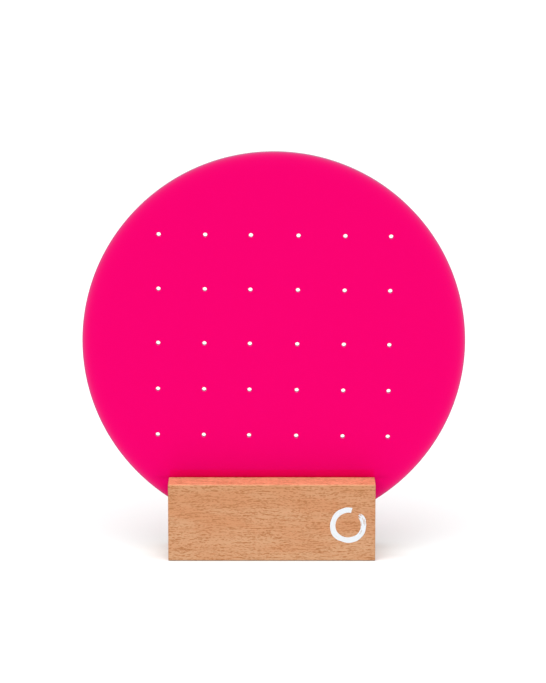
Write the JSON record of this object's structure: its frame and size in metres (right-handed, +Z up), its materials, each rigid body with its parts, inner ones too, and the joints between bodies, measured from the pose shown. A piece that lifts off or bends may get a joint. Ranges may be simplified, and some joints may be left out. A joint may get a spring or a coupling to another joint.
{
  "type": "earring display stand",
  "caption": "Round flat acrylic panel with a grid of small holes for earring posts, standing upright in a slotted wooden block that it lifts out of.",
  "frame": {"origin": "on the table, under the middle of the wooden block's flat underside", "axes": "+X runs along the block, to the right seen from the front; -Y is the front, which carries the painted ring; +Z is up"},
  "size_m": [0.1999, 0.0385, 0.2133],
  "materials": {
    "beech": "satin",
    "white_paint": "matte",
    "pink_acrylic": "gloss"
  },
  "bodies": {
    "base": {"base_block": "beech", "painted_ring": "white_paint"},
    "disc": {"display_disc": "pink_acrylic"}
  },
  "joints": [
    {"name": "disc_lift", "type": "slide", "parent": "base", "child": "disc", "axis": [0, 0, 1], "range_m": [0, 0.0276]}
  ]
}
